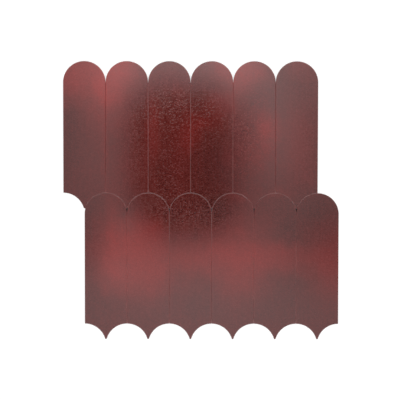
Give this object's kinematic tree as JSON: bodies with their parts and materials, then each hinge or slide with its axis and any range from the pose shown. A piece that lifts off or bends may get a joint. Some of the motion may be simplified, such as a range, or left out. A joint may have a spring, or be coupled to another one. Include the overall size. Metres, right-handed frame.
{
  "type": "self-adhesive mosaic tile",
  "caption": "Flat self-adhesive mosaic sheet of long round-topped feather tiles in staggered, nesting rows on an adhesive backing, for covering a wall or splashback.",
  "frame": {"origin": "bottom centre of the sheet's box, on the underside of the release liner", "axes": "+X along the rows, the way that the lower row is moved; +Y towards the round crowns; +Z out of the tiles' face"},
  "size_m": [0.2988, 0.302, 0.004],
  "materials": {
    "burgundy_lacquer": "clouded burgundy lacquer under a satin clear coat with a fine pebbled texture",
    "adhesive_foam": "dark closed-cell foam, coated with adhesive on both sides",
    "liner_paper": "smooth siliconised release paper"
  },
  "bodies": {
    "root": {"upper_tile_1": "burgundy_lacquer", "upper_tile_2": "burgundy_lacquer", "upper_tile_3": "burgundy_lacquer", "upper_tile_4": "burgundy_lacquer", "upper_tile_5": "burgundy_lacquer", "upper_tile_6": "burgundy_lacquer", "lower_tile_1": "burgundy_lacquer", "lower_tile_2": "burgundy_lacquer", "lower_tile_3": "burgundy_lacquer", "lower_tile_4": "burgundy_lacquer", "lower_tile_5": "burgundy_lacquer", "lower_tile_6": "burgundy_lacquer", "adhesive_backing": "adhesive_foam", "release_liner": "liner_paper"}
  },
  "joints": []
}
